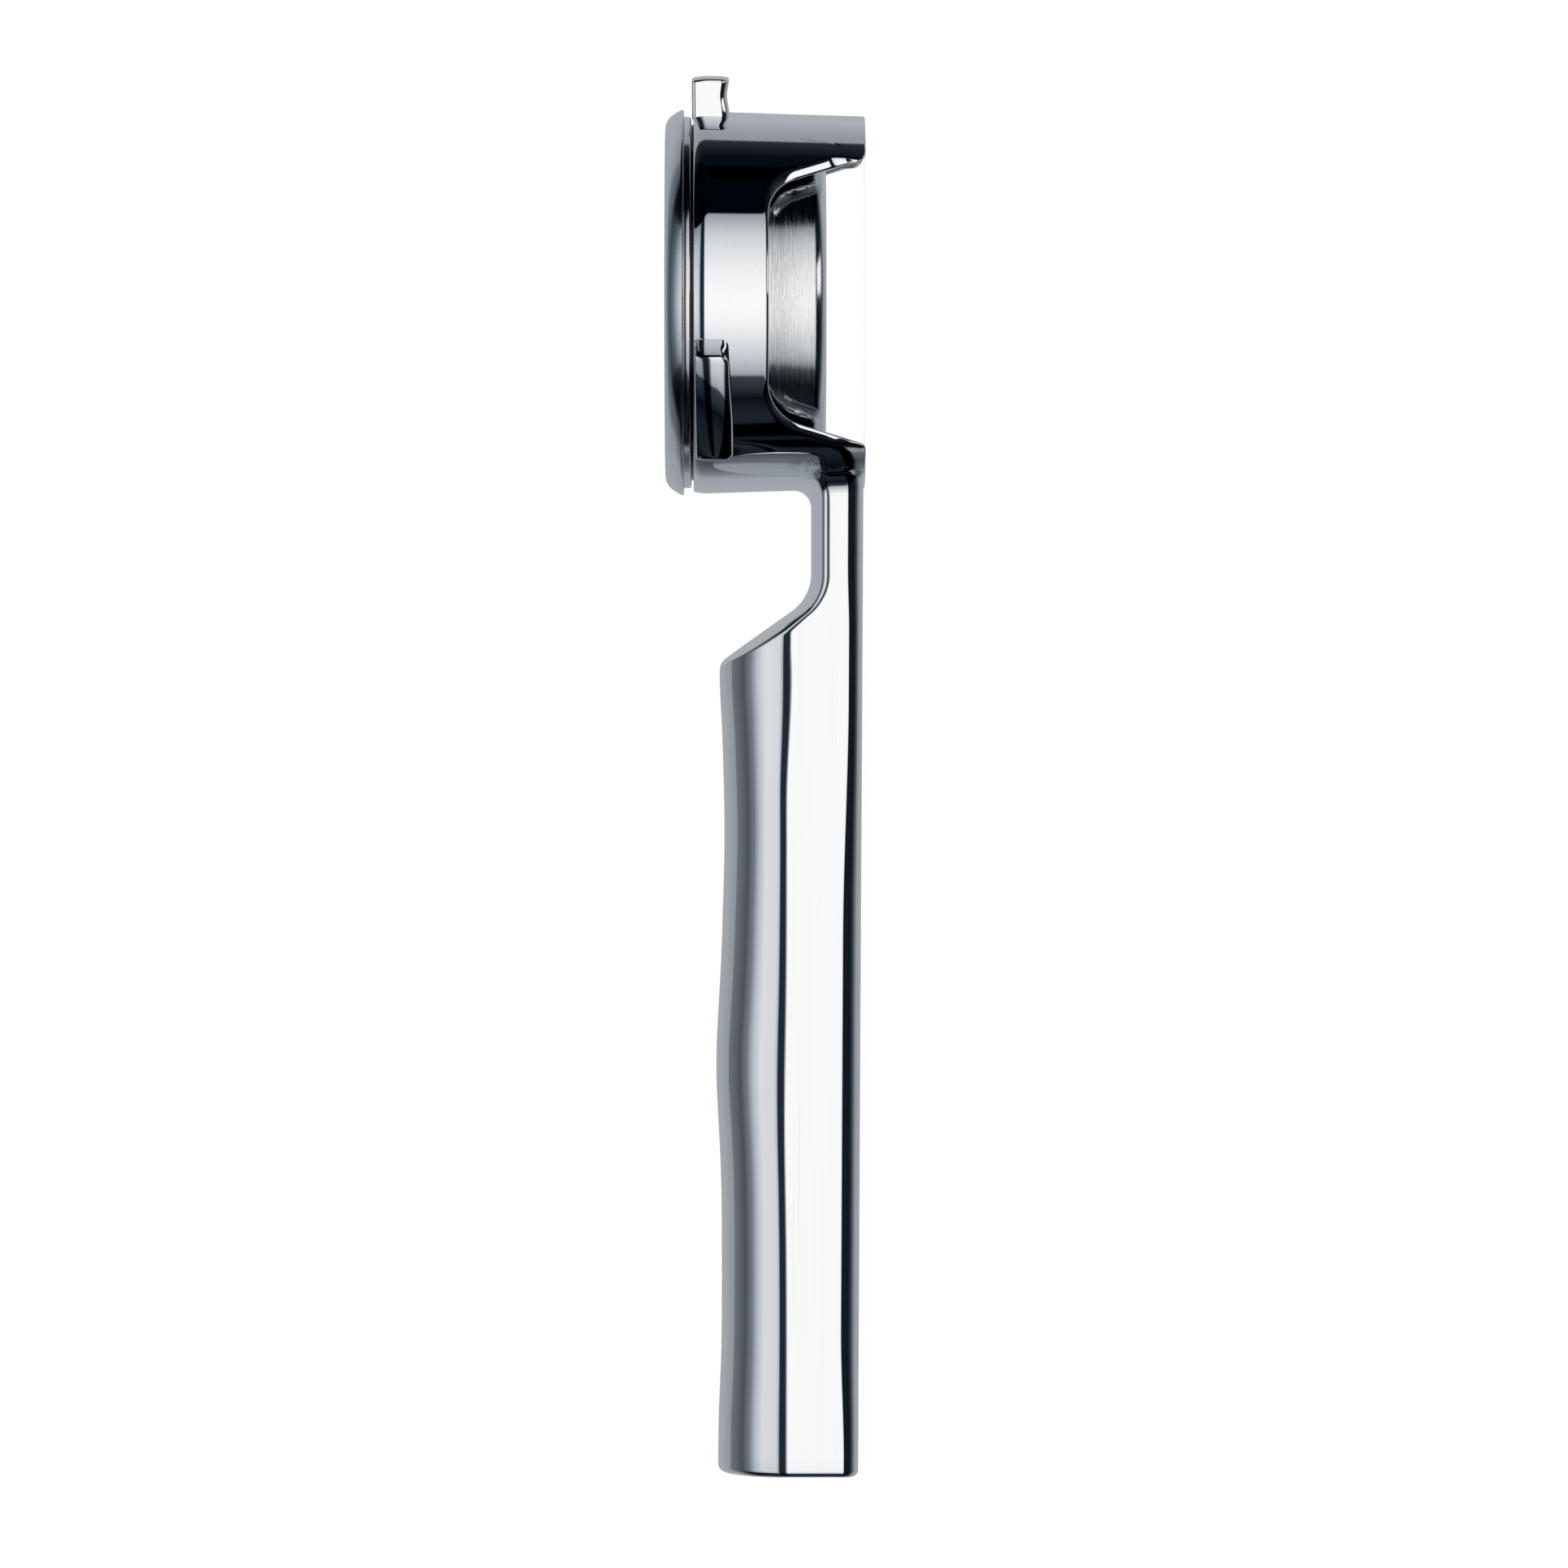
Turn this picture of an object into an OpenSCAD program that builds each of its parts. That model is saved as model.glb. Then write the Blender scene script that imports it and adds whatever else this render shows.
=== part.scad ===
// Bottomless portafilter: the polished steel holder that carries an espresso machine's
// filter basket, with a bayonet ring, open sides and a long hollow grip.
// The origin is on the basket's axis at the plane the holder stands on. +X runs along the
// grip and +Z points out of the basket's mouth.

/* [Ring] */
// Outer radius of the ring at its top
ring_top_r = 35.05; // [33:0.05:38]
// Outer radius of the ring at its foot
ring_base_r = 34.1; // [32:0.05:38]
// Radius of the ring's bore
ring_bore_r = 31.3; // [30.8:0.05:32]
// Radius of the counterbore that the seat ring is pressed into
seat_bore_r = 32.6; // [32.4:0.05:33.2]
// Height of the ring
ring_h = 31.3; // [28:0.1:36]
// Height of the windows that open the ring's sides
window_h = 17.7; // [14:0.1:20]
// Lean of the foot's edge from upright
foot_lean = 15.5; // [5:0.5:25]
// Lean of the arm's edge from upright
arm_lean = 17.3; // [5:0.1:25]

/* [Bayonet lugs] */
// Outer radius of the lugs
lug_r = 41.5; // [38:0.1:44]
// Thickness of a lug
lug_t = 6.8; // [4:0.1:8]
// Width of the two side lugs
lug_w = 21.4; // [12:0.1:26]
// Width of the lug opposite the grip
rear_lug_w = 16.8; // [12:0.1:26]
// Angle between the grip and a side lug
lug_angle = 61; // [50:1:80]
// Rise of a lug's underside from its leading end to its trailing end
lug_ramp = 0.6; // [0:0.1:1.5]

/* [Filter basket] */
// Radius of the basket's bore, for a 58 mm tamper
basket_bore_r = 29.25; // [28.5:0.05:29.4]
// Thickness of the basket's wall
basket_wall = 0.9; // [0.6:0.1:1]
// Height of the basket's underside
basket_base_z = 7.2; // [4:0.1:16]
// Outer radius of the basket's rim
rim_r = 35.3; // [34:0.1:37]
// Thickness of the basket's rim
rim_t = 3.4; // [2:0.1:5]
// Rounding of the rim's outer edge
rim_round = 2.1; // [0.5:0.1:3]
// Spacing of the holes in the basket's floor
hole_pitch = 5; // [4:0.5:8]
// Diameter of a hole in the basket's floor
hole_d = 0.9; // [0.4:0.1:2]

/* [Seat ring] */
// Outer radius of the seat ring's lip
lip_r = 34; // [33.5:0.1:36]
// Thickness of the seat ring's lip
lip_t = 1.3; // [1:0.1:2]
// Gap between the lip and the holder
lip_gap = 0.5; // [0.3:0.1:1]
// Depth that the seat ring reaches into the holder
liner_depth = 8; // [6.5:0.5:10]

/* [Retaining spring] */
// Diameter of the spring's wire
wire_d = 1.2; // [1:0.1:1.4]
// Angle that the spring's gap covers
spring_gap = 30; // [10:1:60]

/* [Neck] */
// Thickness of the neck
neck_t = 9.5; // [8:0.1:14]
// Rounding along the neck's edges
neck_round = 3; // [1:0.1:4]
// Radius of the fillet between the neck and the ring
neck_fillet = 3.4; // [1:0.1:6]

/* [Grip] */
// Distance from the basket's axis to the grip's end
grip_end_x = 215; // [190:1:230]
// Width of the grip
grip_w = 26; // [24:0.5:30]
// Height of the grip's top
grip_top_z = 26.4; // [25.8:0.1:30]
// Slope of the grip's underside, which lifts clear of the plane the holder stands on
grip_lift = 0.25; // [0:0.05:0.6]
// Wall thickness of the hollow grip
grip_wall = 1.6; // [1.2:0.1:2.5]
// Height of the swell in the middle of the grip
swell = 1; // [0:0.1:2]
// Distance from the basket's axis to the crest of the swell
swell_x = 140; // [110:1:170]

/* [Hidden] */

$fn = 96;
lip_base_z = ring_h + lip_gap;
rim_base_z = lip_base_z + lip_t;
rim_top_z = rim_base_z + rim_t;
liner_base_z = ring_h - liner_depth;
basket_r = basket_bore_r + basket_wall;
play = 0.3;
liner_bore_r = basket_r + 1.5 * play;
groove_z = liner_base_z + liner_depth / 2;
wire_ring_r = basket_r + play + wire_d / 2;
neck_base_z = 0.3;
neck_top_z = neck_base_z + neck_t;
neck_end_x = 49.7;
neck_bend_r = 8.5;
slope = 54.6;
seam_x = 72;
end_round = 1.2;
cap_t = 6;
cap_recess = 0.2;
rod_z = 12.5;
rod_r = 4;
bulkhead_x = grip_end_x - 26;
bulkhead_t = 4;
face_gap = 0.02;
washer_t = 1.6;
spring_washer_t = 2;

// ---- outlines --------------------------------------------------------------------------

// Points of an arc about centre c from angle a0 to angle a1
function arc(c, r, a0, a1, n) = [
  for (i = [0:n]) c + r * [cos(a0 + (a1 - a0) * i / n), sin(a0 + (a1 - a0) * i / n)]
];

// Top of the grip at x: level, with a soft swell where the fingers part and a rise at its end
function grip_top(x) = let (
    rise = exp(-pow((x - swell_x) / 15, 2)),
    dip = 0.5 * exp(-pow((x - 97) / 16, 2)),
    flare = 0.7 / (1 + exp((199 - x) / 4)),
    shoulder = 0.4 * exp(-pow((x - 68) / 8, 2))
  ) grip_top_z + swell * rise - dip + flare + shoulder - 0.2;

// Underside of the neck and grip at x
function grip_base(x) = neck_base_z + grip_lift * (x - ring_base_r) / 50;

// Section of the neck and grip at x, a flat base under a round arch, drawn in by inset
function grip_section(x, inset) = let (
    half = grip_w / 2 - inset,
    corner = 3.5 - min(inset, 2.5),
    base = grip_base(x) + inset,
    centre_z = grip_top(x) - grip_w / 2
  ) concat(
    arc([half - corner, base + corner], corner, -90, 0, 5),
    arc([0, centre_z], half, 0, 180, 26),
    arc([-half + corner, base + corner], corner, 180, 270, 5)
  );

// Side outline of the window: a level top, rounded down to the foot and to the grip's arm
function window_outline() = let (
    foot = arc([-17.5, window_h - 6.6], 6.6, 180 - foot_lean, 90, 10),
    arm = arc([14.5, window_h - 8], 8, 90, arm_lean, 10),
    foot_start = foot[0],
    arm_end = arm[10]
  ) concat(
    [[foot_start[0] - (foot_start[1] + 1) * tan(foot_lean), -1]],
    foot,
    arm,
    [[arm_end[0] + (arm_end[1] + 1) * tan(arm_lean), -1]]
  );

// Side outline of the neck and of the slope that climbs to the grip
function neck_outline() = let (top = grip_top(seam_x)) concat(
  [[25, grip_base(25)], [seam_x + 1, grip_base(seam_x + 1)], [seam_x + 1, top + 1]],
  [[71, top + 1]],
  arc([66.7, top - 1.5], 1.5, 84, 90 + slope, 4),
  arc([neck_end_x, neck_top_z + neck_bend_r], neck_bend_r, slope - 90, -90, 8),
  [[25, neck_top_z]]
);

// ---- shared shapes ---------------------------------------------------------------------

// A solid that follows the grip's section from x0 to x1
module grip_solid(x0, x1, inset, steps) {
  stations = [for (i = [0:steps]) x0 + (x1 - x0) * i / steps];
  rings = [for (x = stations) [for (p = grip_section(x, inset)) [x, p[0], p[1]]]];
  n = len(rings[0]);
  m = len(rings);
  polyhedron(
    points = [for (ring = rings) each ring],
    faces = concat(
      [[for (j = [0:n - 1]) j]],
      [for (i = [0:m - 2], j = [0:n - 1])
        [i * n + j, (i + 1) * n + j, (i + 1) * n + (j + 1) % n, i * n + (j + 1) % n]],
      [[for (j = [n - 1:-1:0]) (m - 1) * n + j]]
    )
  );
}

// The grip's skin: one closed sheet along the outside, round the far edge and back inside
module grip_tube(x0, x1, wall, steps, edge) {
  edge_steps = 4;
  outside = [for (i = [0:steps]) [x0 + (x1 - edge - x0) * i / steps, 0]];
  rounding = [for (i = [1:edge_steps]) let (a = 90 * i / edge_steps)
    [x1 - edge + edge * sin(a), edge * (1 - cos(a))]];
  inside = [for (i = [0:steps]) [x1 + (x0 - x1) * i / steps, wall]];
  stations = concat(outside, rounding, inside);
  rings = [for (s = stations) [for (p = grip_section(s[0], s[1])) [s[0], p[0], p[1]]]];
  n = len(rings[0]);
  m = len(rings);
  polyhedron(
    points = [for (ring = rings) each ring],
    faces = [for (i = [0:m - 1], j = [0:n - 1])
      [i * n + j, ((i + 1) % m) * n + j, ((i + 1) % m) * n + (j + 1) % n, i * n + (j + 1) % n]]
  );
}

// A round bar along +X
module bar_x(x0, x1, r, z) {
  translate([x0, 0, z])
    rotate([0, 90, 0])
      cylinder(r = r, h = x1 - x0);
}

// ---- sub-parts -------------------------------------------------------------------------

// One lug of the bayonet, centred on +X, with parallel sides and a ramped underside
module lug(w) {
  top = ring_h;
  low = ring_h - lug_t;
  steps = 4;
  overlap = 0.1;
  for (i = [0:steps - 1])
    intersection() {
      translate([ring_bore_r - 3, -w / 2 + w * i / steps, 0])
        cube([lug_r, w / steps + (i < steps - 1 ? overlap : 0), ring_h + 1]);
      rotate_extrude()
        polygon(concat(
          [[ring_bore_r + 1.5, top], [ring_bore_r + 1.5, low + lug_ramp * i / steps]],
          arc([lug_r - 1.2, low + 1.2 + lug_ramp * i / steps], 1.2, -90, 0, 5),
          arc([lug_r - 0.5, top - 0.5], 0.5, 0, 90, 3)
        ));
    }
}

// Ring wall with its rounded edges
module ring_wall() {
  rotate_extrude()
    polygon(concat(
      [[ring_bore_r - 1, 0], [ring_base_r - 1, 0]],
      arc([ring_base_r - 1, 1], 1, -90, 0, 5),
      arc([ring_top_r - 0.8, ring_h - 0.8], 0.8, 0, 90, 5),
      [[ring_bore_r - 1, ring_h]]
    ));
}

// Neck and slope: the grip's arch cut by the side outline
module neck() {
  intersection() {
    translate([0, grip_w / 2 + 1, 0])
      rotate([90, 0, 0])
        linear_extrude(grip_w + 2)
          polygon(neck_outline());
    translate([25, 0, 0])
      rotate([90, 0, 90])
        linear_extrude(seam_x - 25)
          polygon(grip_section(seam_x, 0));
  }
}

// Fillet where the neck's top meets the ring
module neck_gusset() {
  translate([0, grip_w / 2 - neck_round, 0])
    rotate([90, 0, 0])
      linear_extrude(grip_w - 2 * neck_round)
        polygon(concat(
          [[ring_base_r - 2, neck_top_z - 1], [ring_base_r + 0.3 + neck_fillet, neck_top_z - 1]],
          arc([ring_base_r + 0.3 + neck_fillet, neck_top_z + neck_fillet], neck_fillet, 270, 180, 6),
          [[ring_base_r - 2, neck_top_z + neck_fillet]]
        ));
}

// Spigot that the grip's skin slides on to
module spigot() {
  length = 14;
  translate([seam_x - 1, 0, 0])
    rotate([90, 0, 90])
      linear_extrude(length + 1)
        polygon(grip_section(seam_x + length, grip_wall + 0.05));
}

// Cast holder: ring, foot, arm, lugs, neck and the spigot that the grip slides on to
module holder_body() {
  color("silver")
    difference() {
      union() {
        ring_wall();
        rotate([0, 0, 180])
          lug(rear_lug_w);
        for (side = [-1, 1])
          rotate([0, 0, side * lug_angle])
            lug(lug_w);
        neck();
        neck_gusset();
        spigot();
      }
      translate([0, 60, 0])
        rotate([90, 0, 0])
          linear_extrude(120)
            polygon(window_outline());
      translate([0, 0, -1])
        cylinder(r = ring_bore_r, h = ring_h + 2);
      translate([0, 0, liner_base_z])
        cylinder(r = seat_bore_r, h = liner_depth + 1);
      bar_x(seam_x - 8, seam_x + 15, rod_r + face_gap, rod_z);
    }
}

// Seat ring: a liner pressed into the holder, with a lip for the basket and the spring's groove
module seat_ring() {
  color("gainsboro")
    difference() {
      rotate_extrude()
        polygon(concat(
          [[liner_bore_r, liner_base_z], [seat_bore_r, liner_base_z]],
          [[seat_bore_r, lip_base_z], [lip_r, lip_base_z]],
          arc([lip_r - 0.3, rim_base_z - 0.3], 0.3, 0, 90, 3),
          [[liner_bore_r, rim_base_z]]
        ));
      translate([0, 0, groove_z - wire_d / 2 - play])
        cylinder(r = wire_ring_r + wire_d / 2 + play, h = wire_d + 2 * play);
    }
}

// Retaining spring: a wire ring, open at one side, that the basket clips past
module basket_spring() {
  color("dimgray")
    rotate([0, 0, spring_gap / 2])
      rotate_extrude(angle = 360 - spring_gap)
        translate([wire_ring_r, groove_z])
          circle(d = wire_d, $fn = 16);
}

// Holes of the basket's floor, on rings about its centre
module floor_holes() {
  ring_n = floor((basket_bore_r - 4) / hole_pitch);
  translate([0, 0, basket_base_z - 1])
    for (k = [1:ring_n])
      for (i = [0:6 * k - 1])
        rotate([0, 0, 60 * i / k])
          translate([k * hole_pitch, 0, 0])
            cylinder(d = hole_d, h = 3, $fn = 16);
}

// Filter basket: a spun cup with a thick rolled rim and a pierced floor
module filter_basket() {
  color("lightgray")
    difference() {
      rotate_extrude()
        polygon(concat(
          [[0, basket_base_z], [basket_r - 2.2, basket_base_z]],
          arc([basket_r - 2.2, basket_base_z + 2.2], 2.2, -90, 0, 6),
          [[basket_r, rim_base_z], [rim_r, rim_base_z]],
          arc([rim_r - rim_round, rim_top_z - rim_round], rim_round, 0, 90, 8),
          [[basket_bore_r + 0.8, rim_top_z]],
          arc([basket_bore_r + 0.8, rim_top_z - 0.8], 0.8, 90, 180, 4),
          arc([basket_bore_r - 1.4, basket_base_z + basket_wall + 1.4], 1.4, 0, -90, 5),
          [[0, basket_base_z + basket_wall]]
        ));
      floor_holes();
    }
}

// Grip: a hollow skin that carries the neck's section to the end
module grip_shell() {
  color("silver")
    grip_tube(seam_x + face_gap, grip_end_x, grip_wall, 36, end_round);
}

// Tie rod: screwed into the spigot, it pulls the bulkhead and the grip against the neck
module tie_rod() {
  color("gray")
    bar_x(seam_x - 7, bulkhead_x + bulkhead_t + 12, rod_r, rod_z);
}

// Bulkhead: a plate across the inside of the grip that the tie rod pulls on
module grip_bulkhead() {
  color("darkgray")
    difference() {
      grip_solid(bulkhead_x, bulkhead_x + bulkhead_t, grip_wall + face_gap, 1);
      bar_x(bulkhead_x - 1, bulkhead_x + bulkhead_t + 1, rod_r + 0.2, rod_z);
    }
}

// Flat washer under the nut
module flat_washer() {
  x0 = bulkhead_x + bulkhead_t + face_gap;
  color("gainsboro")
    difference() {
      bar_x(x0, x0 + washer_t, 8, rod_z);
      bar_x(x0 - 1, x0 + washer_t + 1, rod_r + 0.2, rod_z);
    }
}

// Split spring washer
module spring_washer() {
  x0 = bulkhead_x + bulkhead_t + washer_t + 2 * face_gap;
  color("dimgray")
    difference() {
      bar_x(x0, x0 + spring_washer_t, 6.5, rod_z);
      bar_x(x0 - 1, x0 + spring_washer_t + 1, rod_r + 0.2, rod_z);
      translate([x0 - 1, -0.4, rod_z])
        cube([spring_washer_t + 2, 0.8, 8]);
    }
}

// Hexagon nut
module rod_nut() {
  x0 = bulkhead_x + bulkhead_t + washer_t + spring_washer_t + 3 * face_gap;
  color("silver")
    difference() {
      translate([x0, 0, rod_z])
        rotate([0, 90, 0])
          cylinder(d = 15, h = 6.5, $fn = 6);
      bar_x(x0 - 1, x0 + 8, rod_r + face_gap, rod_z);
    }
}

// End cap: a plate pressed into the open end of the skin, just below its edge
module end_cap() {
  color("silver")
    grip_solid(grip_end_x - cap_t, grip_end_x - cap_recess, grip_wall + face_gap, 2);
}

holder_body();
seat_ring();
basket_spring();
filter_basket();
grip_shell();
tie_rod();
grip_bulkhead();
flat_washer();
spring_washer();
rod_nut();
end_cap();
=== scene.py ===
import math

import bmesh
import bpy
from mathutils import Matrix, Vector


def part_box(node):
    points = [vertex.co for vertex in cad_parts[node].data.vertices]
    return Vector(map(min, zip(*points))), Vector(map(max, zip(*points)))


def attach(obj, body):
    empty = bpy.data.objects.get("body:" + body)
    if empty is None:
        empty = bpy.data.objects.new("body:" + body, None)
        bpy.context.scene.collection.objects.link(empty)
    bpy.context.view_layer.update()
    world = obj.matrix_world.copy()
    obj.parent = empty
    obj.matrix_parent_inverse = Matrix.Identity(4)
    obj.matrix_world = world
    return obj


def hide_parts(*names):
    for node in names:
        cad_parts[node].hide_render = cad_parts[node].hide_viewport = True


bl_info = {
    "name": "Bottomless Portafilter",
    "version": (1, 0, 0),
    "blender": (4, 5, 0),
    "location": "3D View > Sidebar > Portafilter",
    "description": "Builds the polished holder, its filter basket and its grip on the packed frame",
    "category": "Add Mesh",
}

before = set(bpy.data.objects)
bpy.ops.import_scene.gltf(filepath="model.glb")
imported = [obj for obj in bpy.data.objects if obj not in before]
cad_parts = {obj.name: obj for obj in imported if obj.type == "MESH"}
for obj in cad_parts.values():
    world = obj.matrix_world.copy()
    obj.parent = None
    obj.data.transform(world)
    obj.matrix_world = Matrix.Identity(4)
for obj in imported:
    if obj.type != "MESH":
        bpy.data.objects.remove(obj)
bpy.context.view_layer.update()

MM = 0.001
HOLDER_LO, HOLDER_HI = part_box("holder_body")
SEAT_LO, SEAT_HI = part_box("seat_ring")
BASKET_LO, BASKET_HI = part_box("filter_basket")
SPRING_LO, SPRING_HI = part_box("basket_spring")
GRIP_LO, GRIP_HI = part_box("grip_shell")
CAP_LO, CAP_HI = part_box("end_cap")


# ---- sizes and colours ---------------------------------------------------------------------------


def length(name, description, default):
    """A size in metres, shown in the sidebar."""
    return bpy.props.FloatProperty(
        name=name, description=description, default=default, min=0.0, precision=5,
        subtype="DISTANCE", unit="LENGTH",
    )


def tint(name, description, default):
    """A metal's colour."""
    return bpy.props.FloatVectorProperty(
        name=name, description=description, default=default, size=3, min=0.0, max=1.0, subtype="COLOR",
    )


def share(name, description, default):
    """A value from 0 to 1."""
    return bpy.props.FloatProperty(
        name=name, description=description, default=default, min=0.0, max=1.0, subtype="FACTOR",
    )


class HolderSizes(bpy.types.PropertyGroup):
    """Sizes of the ring, its windows and its lugs."""

    top_r: length("Top Radius", "Outer radius of the ring at its top", 35.05 * MM)
    base_r: length("Base Radius", "Outer radius of the ring at its foot", 34.1 * MM)
    bore_r: length("Bore Radius", "Radius of the ring's bore", 31.3 * MM)
    seat_r: length("Seat Radius", "Radius of the counterbore for the seat ring", 32.6 * MM)
    window_h: length("Window Height", "Height of the windows in the ring's sides", 17.7 * MM)
    edge: length("Inner Edge", "Width of the bevel along the windows' inner edge", 0.4 * MM)
    lug_r: length("Lug Radius", "Outer radius of the lugs", -HOLDER_LO.x)
    lug_t: length("Lug Thickness", "Thickness of a lug", 6.8 * MM)
    lug_w: length("Lug Width", "Width of the two side lugs", 21.4 * MM)
    rear_lug_w: length("Rear Lug Width", "Width of the lug opposite the grip", 16.8 * MM)
    lug_ramp: length("Lug Ramp", "Rise of a lug's underside along its arc", 0.6 * MM)


class BasketSizes(bpy.types.PropertyGroup):
    """Sizes of the filter basket and its spring."""

    bore_r: length("Bore Radius", "Radius of the basket's bore", 29.25 * MM)
    wall: length("Wall", "Thickness of the basket's wall", 0.9 * MM)
    rim_r: length("Rim Radius", "Outer radius of the rim", BASKET_HI.x)
    rim_t: length("Rim Thickness", "Thickness of the rim", 3.4 * MM)
    hole_r: length("Hole Radius", "Radius of a hole in the floor", 0.28 * MM)
    hole_pitch: length("Hole Pitch", "Spacing of the floor's holes", 2.35 * MM)
    wire_r: length("Wire Radius", "Radius of the spring's wire", 0.6 * MM)


class GripSizes(bpy.types.PropertyGroup):
    """Sizes of the neck and grip."""

    width: length("Width", "Width of the grip", GRIP_HI.y - GRIP_LO.y)
    neck_t: length("Neck Thickness", "Thickness of the neck", 9.5 * MM)
    flare: length("Flare", "Radius of the fillet from the neck to the ring", 3.3 * MM)
    end_edge: length("End Edge", "Rounding of the grip's end", 1.2 * MM)
    wall: length("Wall", "Wall thickness of the hollow grip", 1.6 * MM)


class FinishSettings(bpy.types.PropertyGroup):
    """Colours and roughness of the metals."""

    polished: tint("Polished Steel", "Mirror-polished stainless steel", (0.80, 0.815, 0.84))
    turned: tint("Turned Steel", "Fine-turned stainless steel", (0.72, 0.735, 0.76))
    brushed: tint("Brushed Steel", "Basket steel brushed round its axis", (0.77, 0.78, 0.80))
    spring: tint("Spring Wire", "Drawn spring wire", (0.50, 0.51, 0.54))
    fastener: tint("Fastener Steel", "Plain machined steel", (0.60, 0.60, 0.58))
    floor: tint("Floor", "Pale floor", (0.90, 0.90, 0.90))
    haze: share("Haze", "Roughness of the mirror polish", 0.03)


# ---- mesh helpers --------------------------------------------------------------------------------


def smooth_step(a, b, x):
    """0 below a, 1 above b and an S-curve between them."""
    t = min(max((x - a) / (b - a), 0.0), 1.0)
    return t * t * (3.0 - 2.0 * t)


def bump(x, centre, width):
    """A soft bump of height 1 round a centre."""
    return math.exp(-(((x - centre) / width) ** 2))


def make_object(name, bm, material):
    """Turns a bmesh into an object of the scene."""
    mesh = bpy.data.meshes.new(name)
    bm.to_mesh(mesh)
    bm.free()
    mesh.materials.append(material)
    made = bpy.data.objects.new(name, mesh)
    bpy.context.scene.collection.objects.link(made)
    return made


def make_piece(name, bm, body, material, replaced, smooth_angle=40):
    """Turns a bmesh into a smooth-shaded piece that rides on a body and stands for CAD nodes."""
    bmesh.ops.recalc_face_normals(bm, faces=bm.faces)
    piece = make_object(name, bm, material)
    piece.data.polygons.foreach_set("use_smooth", [True] * len(piece.data.polygons))
    piece.data.set_sharp_from_angle(angle=math.radians(smooth_angle))
    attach(piece, body)
    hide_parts(*replaced)


def merge_into(bm, part):
    """Adds a bmesh of its own to another one and frees it."""
    mesh = bpy.data.meshes.new("part")
    part.to_mesh(mesh)
    part.free()
    bm.from_mesh(mesh)
    bpy.data.meshes.remove(mesh)


def fill_ends(bm):
    """Closes the open ends of a skin."""
    bmesh.ops.holes_fill(bm, edges=[e for e in bm.edges if len(e.link_faces) == 1], sides=0)


def raised_verts(grown):
    """The new vertices of an extrusion."""
    return [g for g in grown["geom"] if isinstance(g, bmesh.types.BMVert)]


def mapped_grid(bm, columns, rows, place):
    """A grid whose vertices are moved to place(i, j); returns the vertices by (i, j)."""
    made = bmesh.ops.create_grid(bm, x_segments=columns, y_segments=rows, size=1.0)["verts"]
    at = {}
    for v in made:
        i = round((v.co.x + 1.0) / 2.0 * columns)
        j = round((v.co.y + 1.0) / 2.0 * rows)
        at[i, j] = v
    for (i, j), v in at.items():
        v.co = place(i, j)
    return at


def mirrored_skin(halves, x_at):
    """Closed skin through half sections and their mirror images.

    x_at gives a point's x from the number of its section and its (y, z)."""
    last = len(halves[0]) - 1

    def place(i, j):
        j %= 2 * last
        y, z = halves[i][min(j, 2 * last - j)]
        return Vector((x_at(i, y, z), y if j <= last else -y, z))

    bm = bmesh.new()
    mapped_grid(bm, len(halves) - 1, 2 * last, place)
    bmesh.ops.remove_doubles(bm, verts=bm.verts, dist=0.0005 * MM)
    fill_ends(bm)
    return bm


def turned(r, angle, z=0.0):
    """A point at a radius, an angle round Z and a height."""
    return Vector((r * math.cos(angle), r * math.sin(angle), z))


def arc_points(cx, cz, r, a0, a1, n):
    """Points of an arc in a side profile, from angle a0 to angle a1 in degrees."""
    angles = [math.radians(a0 + (a1 - a0) * i / n) for i in range(n + 1)]
    return [(cx + r * math.cos(a), cz + r * math.sin(a)) for a in angles]


def spin_profile(bm, points, steps, closed=True):
    """Spins a profile of (radius, height) points round Z into a shell."""
    verts = [bm.verts.new((x, 0.0, z)) for x, z in points]
    pairs = list(zip(verts, verts[1:]))
    if closed:
        pairs.append((verts[-1], verts[0]))
    edges = [bm.edges.new(pair) for pair in pairs]
    bmesh.ops.spin(
        bm, geom=verts + edges, cent=(0, 0, 0), axis=(0, 0, 1), angle=math.tau, steps=steps, use_merge=True,
    )
    bmesh.ops.remove_doubles(bm, verts=bm.verts, dist=0.002 * MM)


# ---- outlines ------------------------------------------------------------------------------------

# The two ends of a window, in mm and degrees: the arc under the level top, the lean of the edge below it,
# the rounding of its tip and how far above that rounding's end the edge aims (as a share of its rise), the
# steps along edge and arc, where along X the rounding across the edge grows wide, its flattest radius
# there, and how far that turns past and before square to the cut
ARM = {"arc_x": 14.5, "arc_r": 8.0, "lean": 17.3, "tip_r": 1.2, "aim": 0, "steps": (22, 26),
       "climb": (15.0, 21.0), "wide": 3.6, "past": 15, "before": -2}
FOOT = {"arc_x": 15.6, "arc_r": 6.6, "lean": 15.5, "tip_r": 2.2, "aim": 2, "steps": (24, 24),
        "climb": (16.1, 21.3), "wide": 6.1, "past": 3, "before": 12}
# The same rounding along the level top
LEVEL = {"wide": 5.0, "past": 8.5, "before": 3}

NECK_X = 34.1 * MM
NECK_BASE = 0.3
# Points along the base, corner, upright side, arch, edge and top of half a section of the grip
SECTION_COUNTS = (5, 9, 8, 22, 12, 12)


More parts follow.
